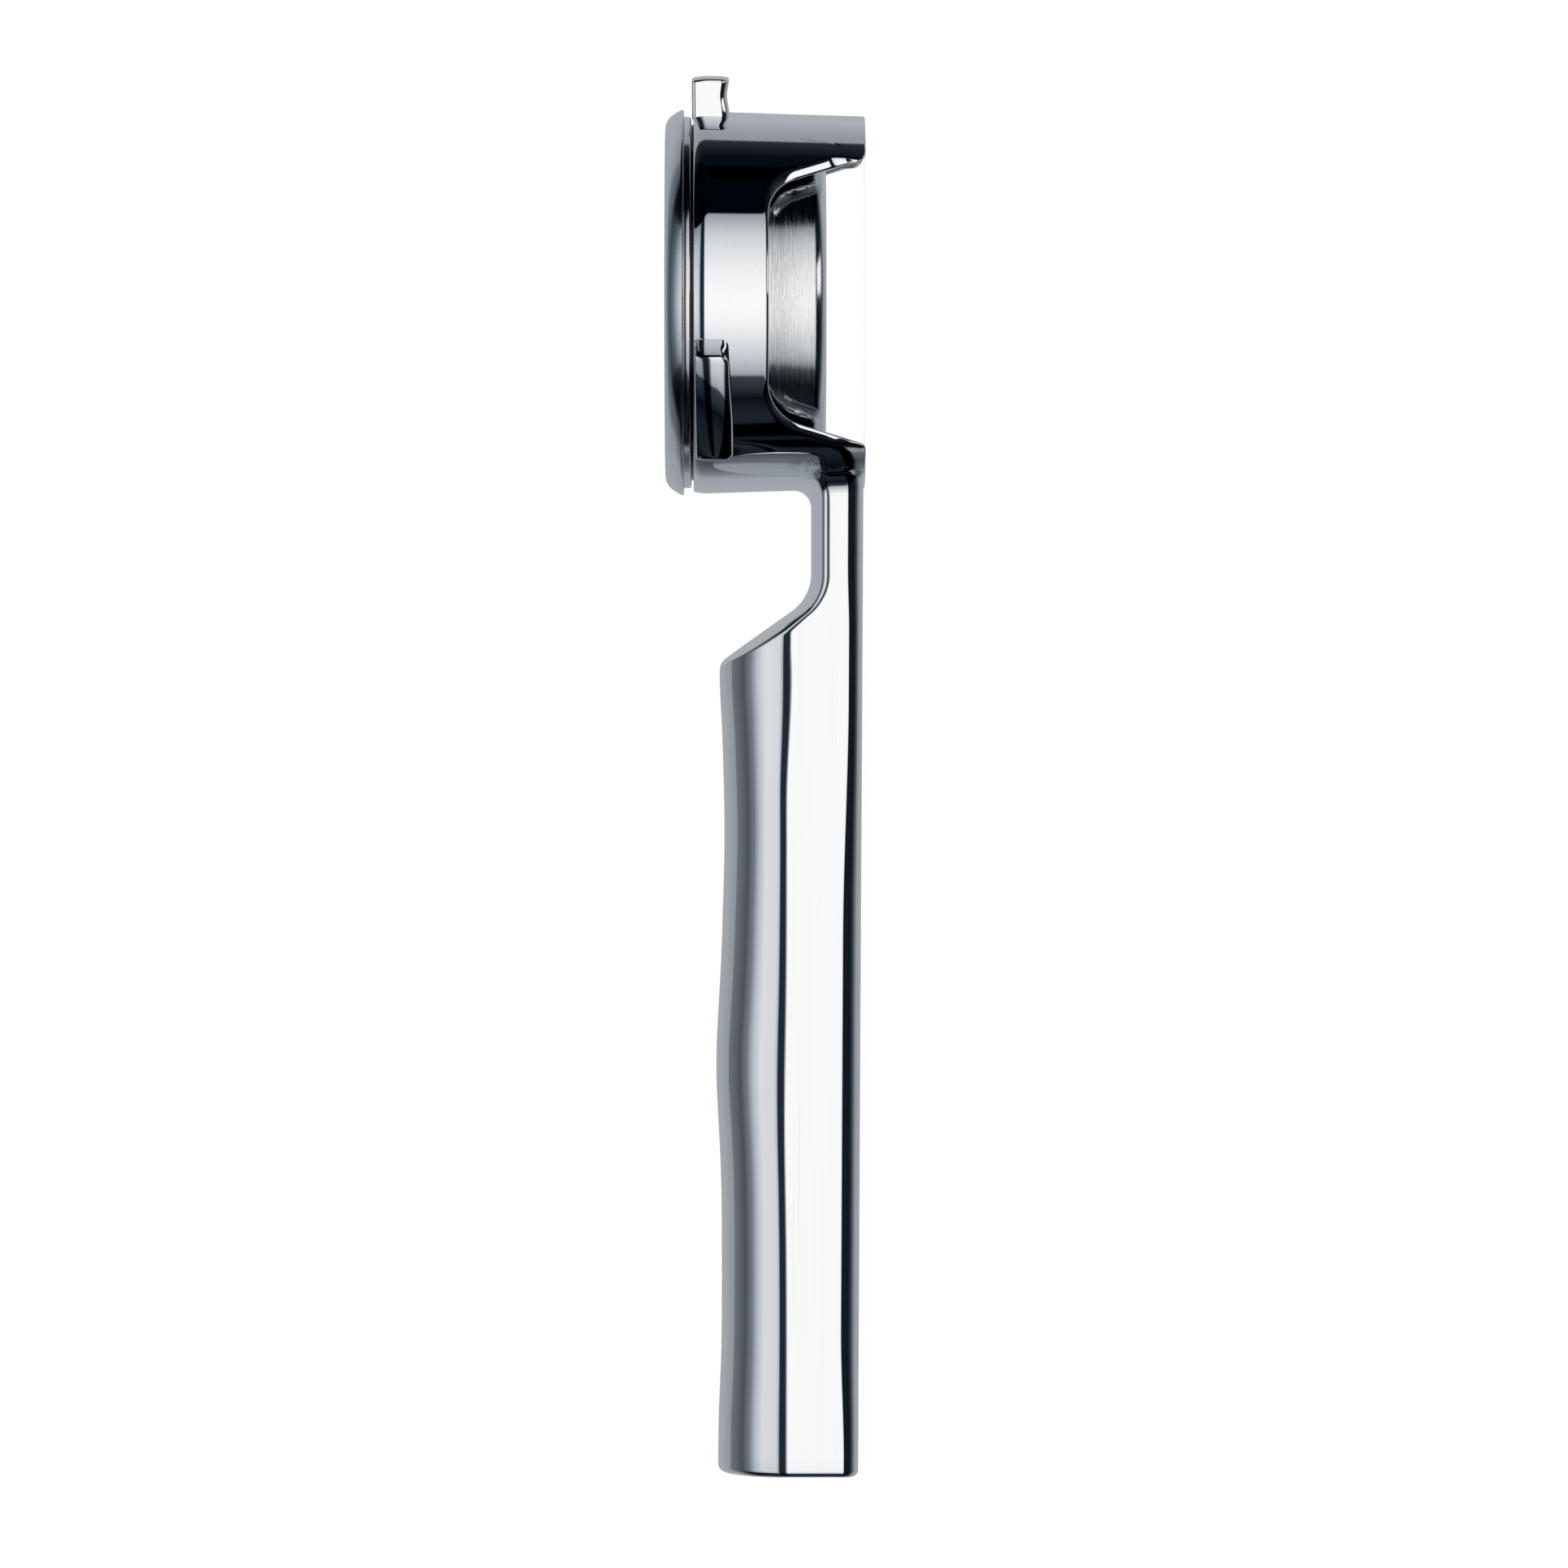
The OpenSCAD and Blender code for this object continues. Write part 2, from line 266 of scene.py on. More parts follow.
def climbing_edge(end, top):
    """Rows (x, z, way_x, way_z) in mm up a leaning edge and its arc, from the base to the level top."""
    lean, r, tip_r = end["lean"], end["arc_r"], end["tip_r"]
    a = math.radians(lean)
    arc_z = top - r
    x1, z1 = end["arc_x"] + r * math.cos(a), arc_z + r * math.sin(a)
    tip_x = x1 + (z1 - tip_r) * math.tan(a) + tip_r / math.cos(a)
    line_n, arc_n = end["steps"]

    def arc(cx, cz, radius, a0, a1, n, sign):
        points = arc_points(cx, cz, radius, a0, a1, n)
        return [(x, z, sign * (x - cx) / radius, sign * (z - cz) / radius) for x, z in points]

    rows = arc(tip_x, tip_r, tip_r, 270, 180 + lean, 8, -1)
    x0, z0, nx, nz = rows[-1]
    z0 += end["aim"] * tip_r * math.sin(a)
    rows += [(x0 + (x1 - x0) * i / line_n, z0 + (z1 - z0) * i / line_n, nx, nz) for i in range(1, line_n)]
    return rows + arc(end["arc_x"], arc_z, r, lean, 90, arc_n, 1)


def edge_rounding(end, x, z):
    """Rounding that is wide on a climbing edge, and fine on the level top and at the base.

    Gives the nearly flat radius, the angles that it turns past and before square to the cut, and the radii
    of the small and the middle arc."""
    near_tip = smooth_step(0.8, 7.0, z)
    climb = smooth_step(*end["climb"], x)
    flat_r = 1.0 / ((1 - climb) / LEVEL["wide"] + climb / end["wide"])
    flat_r = 0.5 + (flat_r - 0.5) * near_tip
    past, before = (LEVEL[key] + (end[key] - LEVEL[key]) * climb for key in ("past", "before"))
    return flat_r * MM, math.radians(past), math.radians(before), 0.3 * MM, (0.45 + 0.45 * near_tip) * MM


def window_edge(window_h, level_steps=40):
    """Side outline of the window from the arm's base over its level top to the foot's base.

    Returns (x, z, way_x, way_z, rounding) rows in metres; the way points into the steel."""
    top = window_h / MM
    start, run = ARM["arc_x"], ARM["arc_x"] + FOOT["arc_x"]
    rows = [(x, z, nx, nz, edge_rounding(ARM, x, z)) for x, z, nx, nz in climbing_edge(ARM, top)]
    plain = edge_rounding(ARM, 0.0, top)
    rows += [(start - run * i / level_steps, top, 0.0, 1.0, plain) for i in range(1, level_steps)]
    foot = reversed(climbing_edge(FOOT, top))
    rows += [(-x, z, -nx, nz, edge_rounding(FOOT, x, z)) for x, z, nx, nz in foot]
    return [(x * MM, z * MM, nx, nz, rounding) for x, z, nx, nz, rounding in rows]


def grip_top(x):
    """Height of the grip's top at x: level, with a soft swell and a rise at its end."""
    x /= MM
    rise = 0.7 / (1 + math.exp((199 - x) / 4))
    return (26.2 + bump(x, 140, 15) - 0.5 * bump(x, 97, 16) + rise + 0.4 * bump(x, 68, 8)) * MM


def grip_base(x):
    """Height of the underside of the neck and grip at x."""
    return (NECK_BASE + 0.25 * (x - NECK_X) / MM / 50) * MM


def arch_start(x):
    """Height at which the grip's upright side passes into its arched top."""
    x /= MM
    return (14.15 - 0.95 * (1 - smooth_step(68, 92, x)) + 0.35 * bump(x, 150, 18)) * MM


def base_corner(x):
    """Radius of the lower corners at x."""
    x /= MM
    changes = -0.3 * smooth_step(48, 60, x) + 0.9 * smooth_step(72, 116, x) - 0.7 * smooth_step(188, 212, x)
    return (3.1 + changes) * MM


def cut_height(s, x):
    """Height of the level neck, of the slope that climbs from it and of the grip's top."""
    top = grip_top(x) / MM
    x /= MM
    neck = NECK_BASE + s.neck_t / MM
    bend_from, bend_r, slope = 49.7, 8.5, math.radians(54.6)
    bend_to = bend_from + bend_r * math.sin(slope)
    if x <= bend_from:
        z = neck
    elif x <= bend_to:
        z = neck + bend_r - math.sqrt(bend_r ** 2 - (x - bend_from) ** 2)
    else:
        z = neck + bend_r * (1 - math.cos(slope)) + (x - bend_to) * math.tan(slope)
    soft = 0.6
    gap = (top - z) / soft
    if gap > 30:
        return z * MM
    return (top if gap < -30 else top - soft * math.log1p(math.exp(gap))) * MM


def half_section(half, base, corner, start_z, height, full_height, edge):
    """Right half of the grip's section, from the middle of its base to the middle of its top.

    A flat base, a rounded corner, an upright side and an arch. A low height cuts the arch: a small edge
    then leads over to a slightly crowned top."""
    lean_deg = 73
    lean = math.radians(lean_deg)
    crown = math.tan((math.pi / 2 - lean) / 2)
    stretch = (full_height - start_z) / half
    reach = half - edge

    def side_of(up):
        return math.sqrt(reach * reach - up * up)

    def top_of(start, up):
        rise = up + edge * math.sin(lean) + (side_of(up) + edge * math.cos(lean)) * crown
        return start + rise * stretch

    least, most = 0.05 * half, reach * math.sin(lean)
    start = min(start_z, height - top_of(0.0, least))
    for _ in range(40):
        up = (least + most) / 2
        if top_of(start, up) < height:
            least = up
        else:
            most = up
    side = side_of(up)
    low_lean = math.degrees(math.asin(up / reach))
    n_base, n_corner, n_side, n_arch, n_edge, n_top = SECTION_COUNTS
    flat = half - corner
    points = [(flat * i / n_base, base) for i in range(n_base)]
    points += arc_points(flat, base + corner, corner, -90, 0, n_corner)[:-1]
    points += [(half, base + corner + (start - base - corner) * i / n_side) for i in range(n_side)]
    arch = arc_points(0, 0, half, 0, low_lean, n_arch)[:-1]
    arch += arc_points(side, up, edge, low_lean, lean_deg, n_edge)[:-1]
    crown_r = (side + edge * math.cos(lean)) / math.cos(lean)
    low = up + edge * math.sin(lean) - crown_r * math.sin(lean)
    arch += arc_points(0, low, crown_r, lean_deg, 90, n_top)
    points += [(y, start + z * stretch) for y, z in arch]
    points[-1] = (0.0, points[-1][1])
    return points


def grip_section(s, x, inset=0.0, flare=0.0):
    """Half section at x, drawn in by inset or pushed out by the flare at the ring."""
    grown = flare - inset
    corner = max(base_corner(x) - inset, 1.2 * MM)
    edge = (1.3 + 2.2 * smooth_step(54 * MM, 64 * MM, x)) * MM
    return half_section(
        s.width / 2 + grown, grip_base(x) + inset, corner, arch_start(x), cut_height(s, x) + grown,
        grip_top(x) + grown, max(edge + 0.5 * grown, 0.8 * MM),
    )


# ---- nodes ---------------------------------------------------------------------------------------


def feed(tree, entry, value):
    """Gives a node's input a value, or links a socket to it."""
    if isinstance(value, bpy.types.NodeSocket):
        tree.links.new(value, entry)
    else:
        entry.default_value = value


def add_node(tree, kind, inputs=None, **settings):
    """A new node with its settings, then its inputs, each a value or a socket."""
    node = tree.nodes.new(kind)
    for key, value in settings.items():
        setattr(node, key, value)
    for key, value in (inputs or {}).items():
        feed(tree, node.inputs[key], value)
    return node


def math_node(tree, operation, *operands, clamp=False):
    """The result of a Math node."""
    values = dict(enumerate(operands))
    return add_node(tree, "ShaderNodeMath", values, operation=operation, use_clamp=clamp).outputs[0]


def noise_node(tree, vector, scale, detail=2.0, roughness=0.5):
    """A Noise texture's factor."""
    values = {"Vector": vector, "Scale": scale, "Detail": detail, "Roughness": roughness}
    return add_node(tree, "ShaderNodeTexNoise", values).outputs["Fac"]


def mix_colours(tree, mask, low, high, blend="MIX"):
    """A colour that runs from low to high with a mask."""
    values = {0: mask, 6: low, 7: high}
    return add_node(tree, "ShaderNodeMix", values, data_type="RGBA", blend_type=blend).outputs[2]


def made_once(library, name):
    """Lets the maker of a material or node group run once, and gives its result from then on."""
    def wrap(make):
        def get():
            return getattr(bpy.data, library).get(name) or make(name)
        return get
    return wrap


def new_group(name, inputs, outputs):
    """A node group of number inputs and outputs; gives its own sockets and the parts of its Vector input."""
    g = bpy.data.node_groups.new(name, "ShaderNodeTree")
    g.interface.new_socket("Vector", in_out="INPUT", socket_type="NodeSocketVector")
    for key, default in inputs.items():
        g.interface.new_socket(key, in_out="INPUT", socket_type="NodeSocketFloat").default_value = default
    for key in outputs:
        g.interface.new_socket(key, in_out="OUTPUT", socket_type="NodeSocketFloat")
    start, end = g.nodes.new("NodeGroupInput").outputs, g.nodes.new("NodeGroupOutput").inputs
    return g, start, end, add_node(g, "ShaderNodeSeparateXYZ", {0: start["Vector"]}).outputs


@made_once("node_groups", "PolishMarks")
def polish_marks(name):
    """Polish marks: fine scratches drawn along one way, soft buffing haze and broad hand-finishing waves."""
    inputs = {"Along": 6.0, "Across": 600.0, "Haze": 0.05, "Marks": 0.03}
    g, start, end, (x, y, z) = new_group(name, inputs, ("Roughness", "Scratches", "Waves"))
    drawn = ((x, "Along"), (y, "Across"), (z, "Across"))
    parts = {k: math_node(g, "MULTIPLY", part, start[key]) for k, (part, key) in enumerate(drawn)}
    stretched = add_node(g, "ShaderNodeCombineXYZ", parts)
    streaks = noise_node(g, stretched.outputs[0], 1.0, 3.0, 0.6)
    lines = math_node(g, "MULTIPLY", math_node(g, "SUBTRACT", streaks, 0.56, clamp=True), 5.0, clamp=True)
    soft = math_node(g, "MULTIPLY", noise_node(g, start["Vector"], 55.0, 3.0, 0.55), start["Haze"])
    marks = math_node(g, "MULTIPLY", lines, start["Marks"])
    feed(g, end["Roughness"], math_node(g, "ADD", soft, marks))
    feed(g, end["Scratches"], lines)
    feed(g, end["Waves"], noise_node(g, start["Vector"], 26.0, 0.0))
    return g


@made_once("node_groups", "RoundBrushing")
def round_brushing(name):
    """Brushing round the Z axis: thin rings, and short streaks that follow the turning."""
    inputs = {"Fineness": 2600.0, "Streak Length": 2.4}
    g, start, end, (x, y, z) = new_group(name, inputs, ("Streaks", "Rings"))
    squares = [math_node(g, "MULTIPLY", part, part) for part in (x, y)]
    radius = math_node(g, "SQRT", math_node(g, "ADD", *squares))
    across = math_node(g, "MULTIPLY", math_node(g, "ADD", radius, z), start["Fineness"])
    turn = [math_node(g, "DIVIDE", part, radius) for part in (x, y)]
    parts = {k: math_node(g, "MULTIPLY", part, start["Streak Length"]) for k, part in enumerate(turn)}
    turned = add_node(g, "ShaderNodeCombineXYZ", {**parts, 2: across})
    feed(g, end["Streaks"], noise_node(g, turned.outputs[0], 1.0, 4.0, 0.65))
    rings = add_node(g, "ShaderNodeCombineXYZ", {2: math_node(g, "MULTIPLY", across, 0.35)})
    feed(g, end["Rings"], noise_node(g, rings.outputs[0], 1.0, 2.0, 0.5))
    return g


# ---- materials -----------------------------------------------------------------------------------


def steel(name, colour, roughness):
    """A new steel material; returns it with its tree, its shader's inputs and the object coordinates."""
    m = bpy.data.materials.new(name)
    m.use_nodes = True
    entries = m.node_tree.nodes["Principled BSDF"].inputs
    entries["Base Color"].default_value = (*colour, 1.0)
    entries["Metallic"].default_value = 1.0
    entries["Roughness"].default_value = roughness
    return m, m.node_tree, entries, m.node_tree.nodes.new("ShaderNodeTexCoord").outputs["Object"]


def add_group(tree, group, coords, values):
    """Places a shared group in a material, fed with coordinates and its own values; returns its outputs."""
    return add_node(tree, "ShaderNodeGroup", {"Vector": coords, **values}, node_tree=group).outputs


def add_bump(tree, entries, height, distance, before=None):
    """A bump over the surface, or over an earlier bump; returns its normal."""
    values = {"Strength": 1.0, "Distance": distance, "Height": height}
    if before is not None:
        values["Normal"] = before
    normal = add_node(tree, "ShaderNodeBump", values).outputs[0]
    feed(tree, entries["Normal"], normal)
    return normal


def add_tint(tree, entries, mask, low, high):
    """Base colour that runs from low to high with a mask."""
    feed(tree, entries["Base Color"], mix_colours(tree, mask, (*low, 1.0), (*high, 1.0)))


def add_roughness(tree, entries, mask, gain, least):
    """Roughness that grows with a mask."""
    feed(tree, entries["Roughness"], math_node(tree, "MULTIPLY_ADD", mask, gain, least))


def shade(colour, k):
    """A colour made darker or lighter."""
    return tuple(min(c * k, 1.0) for c in colour)


@made_once("materials", "mirror_steel")
def mirror_steel(name):
    """Mirror-polished stainless steel of the holder and the grip."""
    finish = bpy.context.scene.portafilter_finish
    m, tree, entries, coords = steel(name, finish.polished, finish.haze)
    values = {"Along": 22.0, "Across": 2400.0, "Haze": finish.haze, "Marks": 0.035}
    marks = add_group(tree, polish_marks(), coords, values)
    feed(tree, entries["Roughness"], marks["Roughness"])
    add_tint(tree, entries, marks["Scratches"], finish.polished, shade(finish.polished, 0.93))
    waves = add_bump(tree, entries, marks["Waves"], 0.035 * MM)
    add_bump(tree, entries, marks["Scratches"], 0.0002 * MM, before=waves)
    return m


@made_once("materials", "rim_steel")
def rim_steel(name):
    """Rolled rim of the basket: polished, with the faint rings of its spinning."""
    finish = bpy.context.scene.portafilter_finish
    m, tree, entries, coords = steel(name, finish.turned, 0.16)
    brush = add_group(tree, round_brushing(), coords, {"Fineness": 3800.0, "Streak Length": 1.2})
    add_roughness(tree, entries, brush["Streaks"], 0.10, 0.09)
    add_tint(tree, entries, brush["Rings"], shade(finish.turned, 0.86), shade(finish.turned, 1.1))
    add_bump(tree, entries, brush["Rings"], 0.004 * MM)
    return m


@made_once("materials", "brushed_steel")
def brushed_steel(name):
    """Basket steel brushed round its axis."""
    finish = bpy.context.scene.portafilter_finish
    m, tree, entries, coords = steel(name, finish.brushed, 0.26)
    entries["Anisotropic"].default_value = 0.6
    tangent = add_node(tree, "ShaderNodeTangent", direction_type="RADIAL", axis="Z")
    feed(tree, entries["Tangent"], tangent.outputs[0])
    brush = add_group(tree, round_brushing(), coords, {"Fineness": 4600.0, "Streak Length": 5.0})
    lines = math_node(tree, "MULTIPLY_ADD", brush["Streaks"], 3.2, -1.1, clamp=True)
    add_roughness(tree, entries, lines, 0.10, 0.06)
    add_tint(tree, entries, lines, shade(finish.brushed, 0.86), shade(finish.brushed, 1.14))
    add_bump(tree, entries, lines, 0.004 * MM)
    return m


@made_once("materials", "turned_steel")
def turned_steel(name):
    """Seat ring: fine-turned steel, with painted shade in the joint under its lip: near black below a set
    height.
    """
    finish = bpy.context.scene.portafilter_finish
    m, tree, entries, coords = steel(name, finish.turned, 0.12)
    brush = add_group(tree, round_brushing(), coords, {"Fineness": 5200.0, "Streak Length": 0.8})
    add_roughness(tree, entries, brush["Rings"], 0.12, 0.06)
    # Painted shade: below this height the seat ring is painted near black, standing for the shade in the gap
    # between its lip and the holder's top.
    painted_shade_top, edge = HOLDER_HI.z + 0.48 * MM, 0.08 * MM
    height = add_node(tree, "ShaderNodeSeparateXYZ", {0: coords}).outputs[2]
    above_painted_shade = math_node(tree, "MULTIPLY_ADD", height, 1 / edge, -painted_shade_top / edge, clamp=True)
    # Near black painted shade below that height, the turned steel's own colour above it.
    add_tint(tree, entries, above_painted_shade, (0.02, 0.022, 0.025), finish.turned)
    add_bump(tree, entries, brush["Rings"], 0.003 * MM)
    return m


@made_once("materials", "spring_wire")
def spring_wire(name):
    """Drawn spring wire, a little dull."""
    finish = bpy.context.scene.portafilter_finish
    m, tree, entries, coords = steel(name, finish.spring, 0.3)
    brush = add_group(tree, round_brushing(), coords, {"Fineness": 4200.0, "Streak Length": 5.0})
    add_roughness(tree, entries, brush["Streaks"], 0.2, 0.2)
    add_tint(tree, entries, brush["Streaks"], shade(finish.spring, 0.7), shade(finish.spring, 1.2))
    return m


@made_once("materials", "machined_steel")
def machined_steel(name):
    """Plain machined steel of the rod, the bulkhead, the washers and the nut."""
    finish = bpy.context.scene.portafilter_finish
    m, tree, entries, coords = steel(name, finish.fastener, 0.32)
    values = {"Along": 900.0, "Across": 120.0, "Haze": 0.5, "Marks": 0.2}
    marks = add_group(tree, polish_marks(), coords, values)
    feed(tree, entries["Roughness"], marks["Roughness"])
    add_tint(tree, entries, marks["Scratches"], finish.fastener, shade(finish.fastener, 0.7))
    add_bump(tree, entries, marks["Scratches"], 0.01 * MM)
    return m


# ---- pieces --------------------------------------------------------------------------------------


class MESH_OT_holder_ring(bpy.types.Operator):
    """Ring of the holder, with its side windows, foot and arm"""

    bl_idname = "mesh.portafilter_holder_ring"
    bl_label = "Holder Ring"

    base_steps = 14
    top_round = 0.35 * MM
    soft_h = 2.4 * MM
    soft_bend = 68.0
    parts = {"cut": 3, "small": 5, "flat": 8, "middle": 6, "wall": 32, "round": 5, "top": 2, "seat": 2,
             "shoulder": 1, "inner": 12}

    def execute(self, context):
        self.sizes = context.scene.portafilter_holder
        self.top_lean = math.atan(-self.outer_slope(HOLDER_HI.z))
        stations = self.stations()
        middle = len(stations) - 1
        spread = self.top_angles(stations)
        section = [(kind, step / count) for kind, count in self.parts.items() for step in range(count)]
        section.append(("inner", 1.0))

        def place(i, j):
            k = abs(i - middle)
            p = self.point(stations[k], spread[k], *section[j])
            return Vector((p.x, p.y if i >= middle else -p.y, p.z))

        bm = bmesh.new()
        at = mapped_grid(bm, 2 * middle, len(section) - 1, place)
        inner_rim = [bm.edges.get((at[i, 0], at[i + 1, 0])) for i in range(2 * middle)]
        marked = {frozenset(tuple(v.co) for v in e.verts) for e in inner_rim}
        bmesh.ops.remove_doubles(bm, verts=bm.verts, dist=0.0006 * MM)
        sharp = [e for e in bm.edges if frozenset(tuple(v.co) for v in e.verts) in marked]
        bmesh.ops.bevel(
            bm, geom=sharp, offset=self.sizes.edge, offset_type="WIDTH", segments=2, profile=0.5,
            affect="EDGES", clamp_overlap=True, material=-1,
        )
        bmesh.ops.remove_doubles(bm, verts=bm.verts, dist=0.0006 * MM)
        make_piece("holder_ring", bm, "holder", mirror_steel(), ["holder_body"], 60)
        return {"FINISHED"}

    def outer_r(self, z):
        """Outer radius at a height: a slight cone that is buffed softer towards its top."""
        s = self.sizes
        soft = max(z - (HOLDER_HI.z - self.soft_h), 0.0)
        return s.base_r + (s.top_r - s.base_r) * z / HOLDER_HI.z - soft * soft * self.soft_bend

    def outer_slope(self, z):
        """Change of the outer radius with height."""
        step = 0.01 * MM
        return (self.outer_r(z + step) - self.outer_r(z - step)) / (2 * step)

    def stations(self):
        """Stations along the lower edge, from the arm's middle to the foot's middle.

        Each has its edge points outside and inside, the way into the steel, and the size of its rounding."""
        bore = self.sizes.bore_r
        base_out = self.outer_r(0.0)
        edge = window_edge(self.sizes.window_h)
        first, last = edge[0], edge[-1]
        out = []

        def add(outer, inner, way, soft):
            across = outer - inner
            across.z = 0.0
            out.append({
                "outer": outer, "inner": inner, "way": way, "across": across.normalized(),
                "deep": across.length, "soft": soft,
            })

        def add_base(angles, soft):
            outer, inner = (turned(r, a) for r, a in zip((base_out, bore), angles))
            add(outer, inner, Vector((0.0, 0.0, 1.0)), soft)

        arm_ends, foot_ends = ([math.acos(row[0] / r) for r in (base_out, bore)] for row in (first, last))
        for i in range(self.base_steps):
            add_base([a * i / self.base_steps for a in arm_ends], first[4])
        for x, z, nx, nz, soft in edge:
            spots = [Vector((x, math.sqrt(r * r - x * x), z)) for r in (self.outer_r(z), bore)]
            add(*spots, Vector((nx, 0.0, nz)), soft)
        for i in range(1, self.base_steps + 1):
            add_base([a + (math.pi - a) * i / self.base_steps for a in foot_ends], last[4])
        for station in out:
            self.fit_rounding(station)
        return out

    def wall_r(self, face, z):
        """Radius of the outer wall or of the bore at a height."""
        return self.outer_r(z) if face == "outer" else self.sizes.bore_r

    def stand_off(self, station, face, way_in):
        """How far a wall stands out, square to the cut, from a point that lies way_in from the edge."""
        p = station[face] + station["way"] * way_in
        across = station["across"]
        r = self.wall_r(face, p.z)
        along = p.x * across.x + p.y * across.y
        return -along + math.sqrt(max(along * along - p.x * p.x - p.y * p.y + r * r, 0.0))

    def fit_rounding(self, station):
        """Fits three arcs between the outer wall and the cut face: middle, nearly flat and small."""
        flat_r, past, before, small, middle = station["soft"]
        reach = small * (1 - math.sin(past)) + flat_r * math.sin(past)
        way_in = reach + 0.3 * middle
        step = 0.01 * MM
        for _ in range(14):
            further, nearer = (self.stand_off(station, "outer", way_in + d) for d in (step, -step))
            wall_lean = math.atan((nearer - further) / (2 * step))
            turn = min(before, wall_lean)
            way_in = reach + flat_r * math.sin(turn) + middle * (math.sin(wall_lean) - math.sin(turn))
        station["way_in"] = way_in

        def shifted(c, size, angle):
            return (c[0] + size * math.sin(angle), c[1] + size * math.cos(angle))

        middle_c = shifted((way_in, self.stand_off(station, "outer", way_in)), -middle, wall_lean)
        flat_c = shifted(middle_c, middle - flat_r, turn)
        small_c = shifted(flat_c, flat_r - small, -past)
        station["arcs"] = {
            "small": (small_c, small, -math.pi / 2, -past),
            "flat": (flat_c, flat_r, -past, turn),
            "middle": (middle_c, middle, turn, wall_lean),
        }

    def point(self, station, top_angle, kind, t):
        """Point t of the way through one part of a station's section."""
        s, top = self.sizes, HOLDER_HI.z
        if kind == "cut":
            out = -station["deep"] + (station["arcs"]["small"][0][1] + station["deep"]) * t
            return station["outer"] + station["across"] * out
        if kind in station["arcs"]:
            c, r, a0, a1 = station["arcs"][kind]
            a = a0 + (a1 - a0) * t
            way_in, out = c[0] + r * math.sin(a), c[1] + r * math.cos(a)
            return station["outer"] + station["way"] * way_in + station["across"] * out
        start_round = top - self.top_round * (1 - math.sin(self.top_lean))
        if kind == "wall":
            return self.climb(station, top_angle, t, "outer", station["way_in"], start_round, 5 * MM)
        if kind == "inner":
            return self.climb(station, top_angle, 1 - t, "inner", 0.0, SEAT_LO.z, 2.5 * MM)
        round_r = self.outer_r(start_round) - self.top_round * math.cos(self.top_lean)
        if kind == "round":
            a = self.top_lean + (math.pi / 2 - self.top_lean) * t
            r, z = round_r + self.top_round * math.cos(a), top - self.top_round * (1 - math.sin(a))
        elif kind == "top":
            r, z = round_r + (s.seat_r - round_r) * t, top
        elif kind == "seat":
            r, z = s.seat_r, top + (SEAT_LO.z - top) * t
        else:
            r, z = s.seat_r + (s.bore_r - s.seat_r) * t, SEAT_LO.z
        return turned(r, top_angle, z)

    def climb(self, station, top_angle, t, face, way_in, z_top, pull):
        """Point t of the way up a wall: it leaves the edge squarely and ends upright at the top."""
        def flat(d):
            off = self.stand_off(station, face, d)
            p = station[face] + station["way"] * d + station["across"] * off
            return Vector((math.atan2(p.y, p.x), p.z))

        p0 = flat(way_in)
        step = 0.05 * MM
        run = (flat(way_in + step) - p0) / step
        rise = z_top - p0.y
        p1 = p0 + run * min(pull, 0.4 * rise)
        p2 = Vector((top_angle, z_top - 0.35 * rise))
        p3 = Vector((top_angle, z_top))
        u = 1.0 - t
        p = u * u * u * p0 + 3 * u * u * t * p1 + 3 * u * t * t * p2 + t * t * t * p3
        r = self.wall_r(face, p.y)
        return turned(r, p.x, p.y)

    def top_angles(self, stations):
        """Angle of each station at the ring's top: the climbing edges open out to an even spacing."""
        angle = [math.atan2(station["outer"].y, station["outer"].x) for station in stations]
        end = len(stations) - 1
        first, last = self.base_steps, end - self.base_steps
        level = [k for k in range(first + 10, last - 10) if stations[k]["way"].z > 0.9999]
        draw_in = 0.62
        arm_base, foot_base = draw_in * angle[first], math.pi - draw_in * (math.pi - angle[last])
        knots = [(0, 0.0), (first, arm_base), (level[0], angle[level[0]])]
        knots += [(level[-1], angle[level[-1]]), (last, foot_base), (end, math.pi)]
        for (k0, a0), (k1, a1) in zip(knots, knots[1:]):
            if k0 != level[0]:
                for k in range(k0, k1 + 1):
                    angle[k] = a0 + (a1 - a0) * (k - k0) / (k1 - k0)
        return angle


